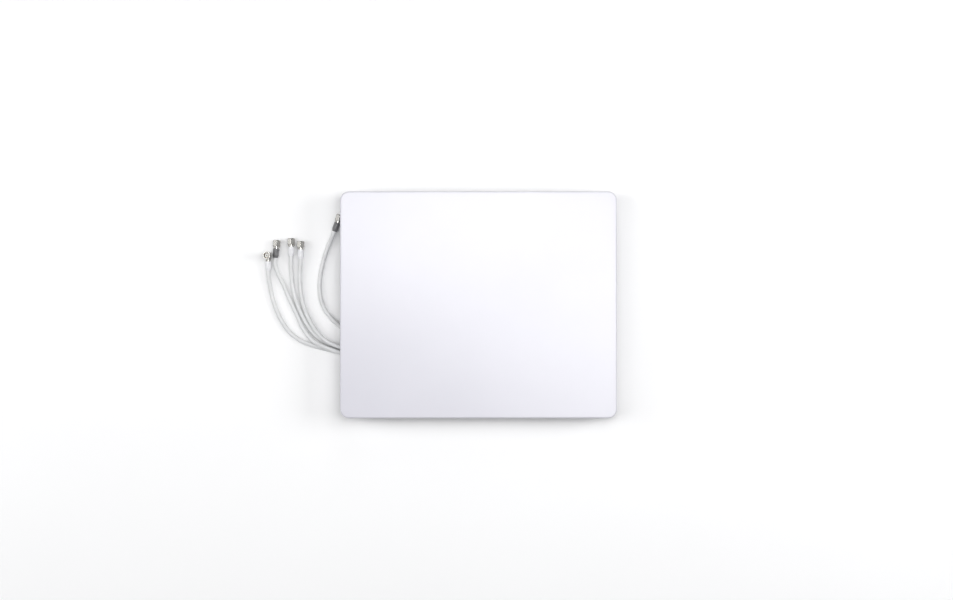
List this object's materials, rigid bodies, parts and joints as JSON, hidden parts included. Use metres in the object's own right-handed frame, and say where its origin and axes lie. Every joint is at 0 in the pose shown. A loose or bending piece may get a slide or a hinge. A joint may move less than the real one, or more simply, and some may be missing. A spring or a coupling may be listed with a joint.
{
  "type": "security gate panel antenna",
  "caption": "Flat white panel antenna of a shop security gate, lying on its back, with coaxial pigtails and screw-on plugs leaving from under one side.",
  "frame": {"origin": "centre of the flat rear face, where the panel meets a wall or table", "axes": "+X along the panel's long side, away from the side the leads leave by; +Y along the short side; +Z out of the front face"},
  "size_m": [0.3921, 0.25, 0.034],
  "materials": {
    "white_shell": "satin, very fine moulded texture",
    "grey_shell": "satin, fine moulded texture",
    "aluminium_sheet": "rolled sheet, brushed grain",
    "black_rubber": "matte",
    "steel_fastener": "zinc plated",
    "brass_insert": "knurled, plain",
    "label_film": "satin film, blank",
    "white_moulding": "satin",
    "circuit_board": "solder mask over glass cloth",
    "nylon": "natural nylon",
    "copper_patch": "lacquered copper",
    "gold_contact": "gold plated",
    "tinned_metal": "tinned",
    "lead_jacket": "soft satin",
    "plug_metal": "nickel plated",
    "white_sleeve": "shrunk sleeve",
    "grey_sleeve": "shrunk sleeve",
    "ptfe": "waxy",
    "red_silicone": "matte"
  },
  "bodies": {
    "panel": {"front_cover": "white_shell", "rear_housing": "grey_shell", "reflector_plate": "aluminium_sheet", "cover_gasket": "black_rubber", "housing_gasket": "black_rubber", "cover_screws": "steel_fastener", "housing_screws": "steel_fastener", "mount_inserts": "brass_insert", "grommet_bundle": "black_rubber", "grommet_single": "black_rubber", "rating_label": "label_film", "clamp_middle": "white_moulding", "clamp_top": "white_moulding", "clamp_screws": "steel_fastener", "patch_board_1": "circuit_board", "patch_board_2": "circuit_board", "patch_board_3": "circuit_board", "patch_board_4": "circuit_board", "patch_board_5": "circuit_board", "patch_1": "copper_patch", "patch_2": "copper_patch", "patch_3": "copper_patch", "patch_4": "copper_patch", "patch_5": "copper_patch", "patch_spacers": "nylon", "patch_screws": "nylon", "feed_pins": "gold_contact", "feed_saddles": "tinned_metal", "inner_lead_1": "lead_jacket", "inner_lead_2": "lead_jacket", "inner_lead_3": "lead_jacket", "inner_lead_4": "lead_jacket", "inner_lead_5": "lead_jacket", "lead_1": "lead_jacket", "lead_2": "lead_jacket", "lead_3": "lead_jacket", "lead_4": "lead_jacket", "lead_5": "lead_jacket", "plug_1_body": "plug_metal", "plug_2_body": "plug_metal", "plug_3_body": "plug_metal", "plug_4_body": "plug_metal", "plug_5_body": "plug_metal", "plug_1_sleeve": "white_sleeve", "plug_2_sleeve": "grey_sleeve", "plug_3_sleeve": "white_sleeve", "plug_4_sleeve": "white_sleeve", "plug_5_sleeve": "grey_sleeve", "crimp_ferrules": "plug_metal", "centre_pins": "gold_contact", "insulators": "ptfe", "snap_rings": "plug_metal", "face_gaskets": "red_silicone"},
    "nut_1": {"plug_1_nut": "plug_metal"},
    "nut_2": {"plug_2_nut": "plug_metal"},
    "nut_3": {"plug_3_nut": "plug_metal"},
    "nut_4": {"plug_4_nut": "plug_metal"},
    "nut_5": {"plug_5_nut": "plug_metal"}
  },
  "joints": [
    {"name": "nut_1_turn", "type": "hinge", "parent": "panel", "child": "nut_1", "pos_m": [-0.2356, 0.055, 0.013], "axis": [0, 0, 1], "continuous": true},
    {"name": "nut_2_turn", "type": "hinge", "parent": "panel", "child": "nut_2", "pos_m": [-0.22564, 0.06817, 0.0047], "axis": [0.0993, 0.9951, 0], "continuous": true},
    {"name": "nut_3_turn", "type": "hinge", "parent": "panel", "child": "nut_3", "pos_m": [-0.20934, 0.07025, 0.0047], "axis": [0.0227, 0.9997, 0], "continuous": true},
    {"name": "nut_4_turn", "type": "hinge", "parent": "panel", "child": "nut_4", "pos_m": [-0.19881, 0.06695, 0.0047], "axis": [0.0122, 0.9999, 0], "continuous": true},
    {"name": "nut_5_turn", "type": "hinge", "parent": "panel", "child": "nut_5", "pos_m": [-0.15581, 0.09676, 0.0047], "axis": [0.3486, 0.9373, 0], "continuous": true}
  ]
}
